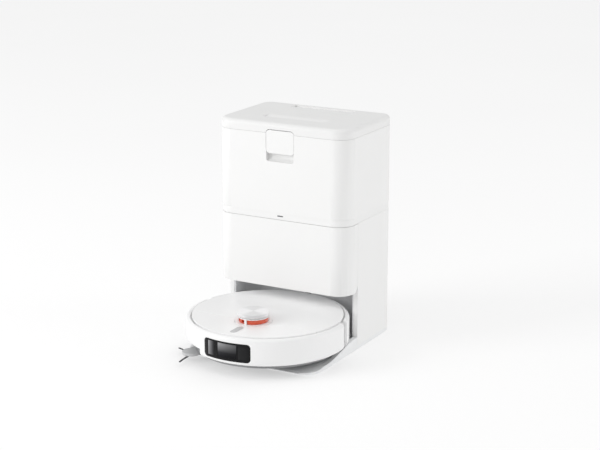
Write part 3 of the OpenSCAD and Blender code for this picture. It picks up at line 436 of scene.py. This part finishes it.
class Build:
    """Collects points and faces of several closed shapes in one piece."""

    def __init__(self):
        self.points = []
        self.faces = []

    def loft(self, loops, wrap=False):
        """Closed skin over loops of equal length; the ends are capped unless it wraps round."""
        start = len(self.points)
        n = len(loops[0])
        for loop in loops:
            self.points += [Vector(p) for p in loop]
        rows = len(loops)
        for i in range(rows if wrap else rows - 1):
            a = start + i * n
            b = start + (i + 1) % rows * n
            self.faces += [(a + j, a + (j + 1) % n, b + (j + 1) % n, b + j) for j in range(n)]
        if not wrap:
            self.faces.append(tuple(start + j for j in reversed(range(n))))
            self.faces.append(tuple(start + (rows - 1) * n + j for j in range(n)))

    def tube(self, path, radii, sides=6, flat=1.0, up=(0, 0, 1)):
        """Rod along a path; flat squeezes its section along the second direction."""
        loops = []
        for i, point in enumerate(path):
            ahead = Vector(path[min(i + 1, len(path) - 1)]) - Vector(path[max(i - 1, 0)])
            side = ahead.cross(Vector(up)).normalized()
            lift = side.cross(ahead).normalized()
            r = radii[i]
            loops.append([Vector(point) + side * (r * math.cos(t))
                          + lift * (r * flat * math.sin(t)) for t in turns(sides)])
        self.loft(loops)

    def lathe(self, centre, profile, axis="Z", steps=48):
        """Turned shape from (radius, height) pairs, closed at both ends on the axis."""
        loops = []
        for r, h in profile:
            ring_points = []
            for t in turns(steps):
                c, d = r * math.cos(t), r * math.sin(t)
                offset = (c, d, h) if axis == "Z" else (h, c, d)
                ring_points.append(Vector(centre) + Vector(offset))
            loops.append(ring_points)
        self.loft(loops)

    def made(self, name, look, body, replaced=(), smooth=35):
        return piece(name, self.points, self.faces, look, body, replaced, smooth)


def on_robot(x, y, z):
    return ROBOT + Vector((x, y, z))


def round_heading(angle, radius, z):
    """A point of the robot at a heading from straight ahead."""
    a = math.radians(angle)
    return on_robot(radius * math.sin(a), -radius * math.cos(a), z)


# Side brush: a hub, three tapered rubber stalks and a tuft of bristles on each
BRUSH = on_robot(-120, -118, 0)
STALKS = (152, 272, 32)
HAIRS_IN_TUFT = 64
TUFT_ROOT = 30
TUFT_REACH = 51.5


def side_brush():
    hub = Build()
    hub.lathe(BRUSH, [(0.2, 1.3), (2.2, 1.3), (2.4, 0.8), (6.8, 0.8), (7.6, 1.2), (8.0, 2.0),
                      (8.0, 3.4), (2.5, 3.7), (2.5, 8.0), (0.2, 8.0)])
    for angle in STALKS:
        out = Vector((math.cos(math.radians(angle)), math.sin(math.radians(angle)), 0))
        path = [BRUSH + out * r + Vector((0, 0, z))
                for r, z in ((5, 2.3), (10, 2.35), (17, 2.3), (25, 2.25), (33, 2.2), (34.5, 2.2))]
        hub.tube(path, (2.9, 2.8, 2.6, 2.4, 2.2, 1.5), sides=14, flat=0.6)
    hub.made("side_brush_hub", LOOKS["dark_plastic"], "brush", ("side_brush",))
    rng = random.Random(11)
    tufts = Build()
    for angle in STALKS:
        a = math.radians(angle)
        out = Vector((math.cos(a), math.sin(a), 0))
        side = Vector((-math.sin(a), math.cos(a), 0))
        for _ in range(HAIRS_IN_TUFT):
            turn, spread = rng.uniform(0, math.tau), math.sqrt(rng.uniform(0, 1))
            across, lift = spread * math.cos(turn), spread * math.sin(turn)
            reach = TUFT_REACH - rng.uniform(0, 2.2)
            fan = 1.25 + rng.uniform(-0.1, 0.15)
            path = []
            for t in (0, 0.25, 0.5, 0.75, 1):
                r = TUFT_ROOT + (reach - TUFT_ROOT) * t
                bend = 1.6 * t * t
                wider = 1 + (fan - 1) * t
                path.append(BRUSH + out * r + side * (across * 1.8 * wider + bend)
                            + Vector((0, 0, 2.2 + lift * 0.85 * wider - 0.45 * t)))
            tufts.tube(path, (0.30, 0.30, 0.29, 0.27, 0.18), sides=5)
    tufts.made("side_brush_bristles", BRISTLES, "brush", smooth=60)


# Mop pads: round microfibre pads with sewn rings and seams
SEWN_RINGS = (20, 41, 57)
SEWN_RAYS = 8
PAD_EDGE = 2.6


def mop_pad(side, body, node):
    low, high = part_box(node)
    low, high = low / MM, high / MM
    centre = (low + high) / 2
    radius = (high.x - low.x) / 2
    rings, steps = 46, 168
    build = Build()
    loops = []

    def lower(r, t):
        pile = noise.noise(Vector((r * math.cos(t), r * math.sin(t), side * 7)) * 0.62)
        seam = min(abs(r - s) for s in SEWN_RINGS)
        ray = abs((t * SEWN_RAYS / math.tau) % 1 - 0.5) * math.tau / SEWN_RAYS * r
        sewn = max(0, 1 - seam / 1.6)
        if r > SEWN_RINGS[0]:
            sewn += max(0, 1 - (math.pi / SEWN_RAYS * r - ray) / 1.3)
        return low.z + 0.35 + 0.35 * pile + 0.9 * min(1, sewn)

    for i in range(rings):
        r = max(0.4, (radius - PAD_EDGE) * i / (rings - 1))
        loops.append([Vector((centre.x + r * math.cos(t), centre.y + r * math.sin(t),
                              lower(r, t))) for t in turns(steps)])
    for j in range(1, 12):
        a = -math.pi / 2 + math.pi * j / 12
        loop = []
        for t in turns(steps):
            fray = 0.28 * noise.noise(Vector((math.cos(t) * 26, math.sin(t) * 26, a * 2 + side)))
            r = radius - PAD_EDGE + (2.2 + fray) * math.cos(a)
            loop.append(Vector((centre.x + r * math.cos(t), centre.y + r * math.sin(t),
                                centre.z + 2.1 * math.sin(a))))
        loops.append(loop)
    for i in range(12):
        r = max(0.4, (radius - PAD_EDGE) * (1 - i / 11))
        loops.append([Vector((centre.x + r * math.cos(t), centre.y + r * math.sin(t),
                              high.z - 0.15 - 0.25 * abs(math.sin(r * 0.3))))
                      for t in turns(steps)])
    build.loft(loops)
    pad = build.made(node + "_cloth", LOOKS["mop_cloth"], body, (node,), 70)


# Dust bag: a non-woven bag that air pressure has filled, with pleats at its sides
BAG_PRESSURE = 3.5
BAG_FRAMES = 14
BAG_CAP = 5 * MM
BAG_CLEARANCE = 0.4


def dust_bag():
    low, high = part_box("dust_bag")
    low, high = low / MM, high / MM
    centre, half = (low + high) / 2, (high - low) / 2
    shape = bmesh.new()
    bmesh.ops.create_cube(shape, size=2)
    bmesh.ops.subdivide_edges(shape, edges=shape.edges, cuts=23, use_grid_fill=True)
    for v in shape.verts:
        x, y, z = v.co
        pull = 0.80 + 0.11 * (1 - abs(x) ** 3) + 0.04 * (1 - abs(z) ** 3)
        tuck = 0.10 * max(0, 1 - abs(y) / 0.32) * (abs(x) ** 6)
        ends = (1 - 0.16 * abs(x) ** 6, 1 - 0.16 * abs(z) ** 6)
        v.co = Vector((centre.x + half.x * x * (0.93 - tuck - 0.02 * z * z),
                       centre.y + half.y * y * pull * ends[0] * ends[1],
                       centre.z + half.z * z * (0.92 - 0.05 * x * x))) * MM
    data = bpy.data.meshes.new("dust_bag_cloth")
    shape.to_mesh(data)
    shape.free()
    obj = link("dust_bag_cloth", data, LOOKS["bag_paper"])
    inflate(obj, BAG_PRESSURE, BAG_FRAMES, BAG_CAP)
    for v in data.vertices:
        p = v.co / MM
        crease = (noise.noise(p * 0.045) + 0.5 * abs(noise.noise(p * 0.12))
                  + 0.25 * noise.noise(p * 0.3))
        v.co += v.normal * (1.5 * (crease - 0.4) * MM)
        for k in range(3):
            v.co[k] = min(max(v.co[k], (low[k] + BAG_CLEARANCE) * MM),
                          (high[k] - BAG_CLEARANCE) * MM)
    data.shade_smooth()
    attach(obj, "station")
    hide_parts("dust_bag")


def inflate(obj, pressure, frames, cap):
    """Blows the piece up with a cloth simulation and keeps the result in its mesh."""
    scene = bpy.context.scene
    rest = [v.co.copy() for v in obj.data.vertices]
    cloth = obj.modifiers.new("cloth", "CLOTH")
    cloth.settings.use_pressure = True
    cloth.settings.uniform_pressure_force = pressure
    cloth.settings.effector_weights.gravity = 0
    cloth.settings.quality = 4
    cloth.point_cache.frame_start = 1
    cloth.point_cache.frame_end = frames
    for number in range(1, frames + 1):
        scene.frame_set(number)
    graph = bpy.context.evaluated_depsgraph_get()
    moved = [v.co.copy() for v in obj.evaluated_get(graph).data.vertices]
    obj.modifiers.remove(cloth)
    scene.frame_set(1)
    for v, before, after in zip(obj.data.vertices, rest, moved):
        step = after - before
        v.co = before + step * min(1.0, cap / max(step.length, 1e-9))
    obj.data.update()


# Sensor window: three panes in the window's pockets; the grey across them is a painted reflection
# over dark glass
def window_panes():
    z0, z1 = 33.25, 63.75
    outer, inner = 175.08, 174.73
    margin, columns = 0.08, 14
    looks = (
        ("pane_left", -14.7, -9.3, pane_painted_reflection("pane_left", (-0.044, -0.030), [
            (0.0, (0.40, 0.40, 0.41)), (0.3, (0.22, 0.22, 0.23)), (0.95, (0.03, 0.03, 0.033))],
            ((0.04, 0.075), [(0.0, (0.75, 0.75, 0.75)), (1.0, (1, 1, 1))]))),
        ("pane_camera", -6.1, 8.4, pane_painted_reflection("pane_camera", (-0.019, 0.026), [
            (0.0, (0.34, 0.34, 0.35)), (0.5, (0.19, 0.19, 0.195)), (1.0, (0.10, 0.10, 0.105))],
            ((0.046, 0.070), [(0.0, (0.03, 0.03, 0.04)), (0.30, (0.10, 0.10, 0.11)),
                              (1.0, (1, 1, 1))]))),
        ("pane_right", 9.4, 16.6, pane_painted_reflection("pane_right", (0.028, 0.052), [
            (0.0, (0.022, 0.022, 0.023)), (1.0, (0.013, 0.013, 0.014))],
            ((0.04, 0.075), [(0.0, (1, 1, 1)), (1.0, (1, 1, 1))]))),
    )
    for name, start, stop, look in looks:
        build = Build()
        loops = []
        for i in range(columns + 1):
            angle = start + margin + (stop - start - 2 * margin) * i / columns
            loops.append([round_heading(angle, r, z) for r, z in
                          ((inner, z0), (outer - 0.1, z0), (outer, z0 + 0.2), (outer, z1 - 0.2),
                           (outer - 0.1, z1), (inner, z1))])
        build.loft(loops)
        build.made(name, look, "bumper")


# Turret: the laser's and the receiver's lenses in the rotor's slots
def turret_lenses():
    build = Build()
    turn = math.radians(-30)
    aim = Vector((math.sin(turn), -math.cos(turn), 0))
    side = Vector((math.cos(turn), math.sin(turn), 0))
    back, front = 24.7, 26.2
    for offset, radius in ((-9, 2.2), (9, 2.3)):
        centre = on_robot(0, -60, 80.5 + 5.5) + side * offset
        profile = [(0.15, back), (radius, back), (radius, front), (radius - 0.35, front + 0.35),
                   (radius - 0.7, front + 0.1), (radius - 1.1, front + 0.35),
                   (0.15, front + 0.6)]
        build.loft([[centre + aim * h + side * (r * math.cos(t)) + Vector((0, 0, r * math.sin(t)))
                     for t in turns(32)] for r, h in profile])
    build.made("turret_lenses", LOOKS["window_black"], "turret")


# Main roller: a core with three swept rubber blades and three rows of bristles
BLADES = 3
BRISTLE_STATIONS = 56
BRISTLES_AT_STATION = 7
SWEEP = 34


def main_roller():
    low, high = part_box("main_roller")
    centre = (low + high) / 2 / MM
    core = Build()
    half = 84
    core.lathe(centre, [(0.2, -89), (2.7, -89), (3, -88.6), (3, -84.4), (10.4, -84), (11, -83.4),
                        (11, 83.4), (10.4, 84), (3, 84.4), (3, 88.6), (2.7, 89), (0.2, 89)], "X")
    core.made("roller_core", LOOKS["chassis_grey"], "roller", ("main_roller",))

    def sweep(x, start):
        return start + math.radians(SWEEP) * (1 - abs(x) / half)

    blades = Build()
    for k in range(BLADES):
        loops = []
        for i in range(57):
            x = -half + 2 * half * i / 56
            a = sweep(x, math.tau * k / BLADES)
            out = Vector((0, math.cos(a), math.sin(a)))
            side = Vector((0, -math.sin(a), math.cos(a)))
            at = centre + Vector((x, 0, 0))
            loops.append([at + out * r + side * s for r, s in
                          ((10.4, -1.7), (12.5, -1.0), (19.0, -0.75), (19.85, -0.3), (19.85, 0.3),
                           (19.0, 0.75), (12.5, 1.0), (10.4, 1.7))])
        blades.loft(loops)
    blades.made("roller_blades", LOOKS["rubber"], "roller", smooth=50)
    rng = random.Random(5)
    rows = Build()
    for k in range(BLADES):
        for i in range(BRISTLE_STATIONS):
            x = -half + 2 + (2 * half - 4) * i / (BRISTLE_STATIONS - 1)
            a = sweep(x, math.tau * (k + 0.5) / BLADES)
            for _ in range(BRISTLES_AT_STATION):
                lean = a + rng.uniform(-0.05, 0.05)
                shift = rng.uniform(-0.7, 0.7)
                out = Vector((0, math.cos(a), math.sin(a)))
                tip = Vector((0, math.cos(lean), math.sin(lean)))
                at = centre + Vector((x + shift, 0, 0))
                end = at + tip * rng.uniform(19.2, 19.8) + Vector((rng.uniform(-0.8, 0.8), 0, 0))
                path = [at + out * 10.6, (at + out * 10.6 + end) / 2, end]
                rows.tube(path, (0.17, 0.16, 0.1), sides=4, up=(1, 0, 0))
    rows.made("roller_bristles", BRISTLES, "roller", smooth=60)


# Underside: drop sensors behind small dark lenses
def drop_sensors():
    build = Build()
    for x, y in ((0, -148), (84, -121), (-84, -121), (104, 106), (-104, 106)):
        build.lathe(on_robot(x, y, 11), [(0.2, -0.15), (2.6, -0.15), (3.0, -0.45), (5.2, -0.6),
                                         (5.8, -0.3), (5.8, 0.4), (0.2, 0.4)], steps=40)
    build.made("drop_sensors", LOOKS["window_black"], "robot")


# Ribbed rubber sleeve round the dust nozzle in the bay
def nozzle_sleeve():
    build = Build()
    loops = []
    section = [(15.9, 122.9), (15.9, 127.1)]
    section += [(17.2 + 1.1 * (i % 2), 127.1 - 4.2 * i / 6) for i in range(7)]
    for t in turns(64):
        loops.append([Vector((r * math.cos(t), y, 68 + r * math.sin(t))) for r, y in section])
    build.loft(loops, wrap=True)
    build.made("nozzle_sleeve", LOOKS["rubber"], "station", smooth=40)


side_brush()
mop_pad(1, "mop_left", "pad_left")
mop_pad(-1, "mop_right", "pad_right")
dust_bag()
window_panes()
turret_lenses()
main_roller()
drop_sensors()
nozzle_sleeve()

# ---------- stage ----------

SKY_LOW, SKY_HIGH = 0.36, 1.02
FLOOR_GLOW = 0.44
HALF = 20

make_camera()

floor_mesh = bpy.data.meshes.new("floor")
floor_mesh.from_pydata([(-HALF, -HALF, 0), (HALF, -HALF, 0), (HALF, HALF, 0), (-HALF, HALF, 0)],
                       [], [(0, 1, 2, 3)])
floor = link("floor", floor_mesh)
floor_look = Graph("floor")
floor_look.base(floor_look.ramp(floor_look.noise(0.8, 2), "Fac",
                                [(0.3, (0.56, 0.56, 0.56)), (0.7, (0.57, 0.57, 0.57))]))
floor_look.bsdf.inputs["Roughness"].default_value = 0.9
floor_look.bsdf.inputs["Emission Color"].default_value = (1, 1, 1, 1)
floor_look.bsdf.inputs["Emission Strength"].default_value = FLOOR_GLOW
floor_look.bsdf.inputs["Specular IOR Level"].default_value = 0.2
floor_mesh.materials.append(floor_look.mat)

world = bpy.data.worlds.new("studio")
bpy.context.scene.world = world
world.use_nodes = True
sky = world.node_tree
background = sky.nodes["Background"]
where = sky.nodes.new("ShaderNodeTexCoord")
height = sky.nodes.new("ShaderNodeSeparateXYZ")
sky.links.new(where.outputs["Generated"], height.inputs["Vector"])
glow = sky.nodes.new("ShaderNodeMapRange")
for socket, value in enumerate((0.0, 1.0, SKY_LOW, SKY_HIGH), start=1):
    glow.inputs[socket].default_value = value
sky.links.new(height.outputs["Z"], glow.inputs["Value"])
sky.links.new(glow.outputs["Result"], background.inputs["Strength"])
background.inputs["Color"].default_value = (1, 1, 1, 1)

make_light("key", (-2.9, -2.9, 1.75), (0, 0, 0.2), (2.0, 2.0), 67)
make_light("fill", (3.6, 1.4, 1.2), (0, 0.1, 0.25), (1.8, 1.8), 19)
# Small fill under the overhang, aimed down at the robot and hidden from camera and gloss
bay = make_light("bay_bounce", (0, 0.07, 0.1285), (0, 0.07, 0), (0.28, 0.12), 0.07)
bay.visible_camera = False
bay.visible_glossy = False
bpy.context.scene.view_settings.view_transform = "Standard"
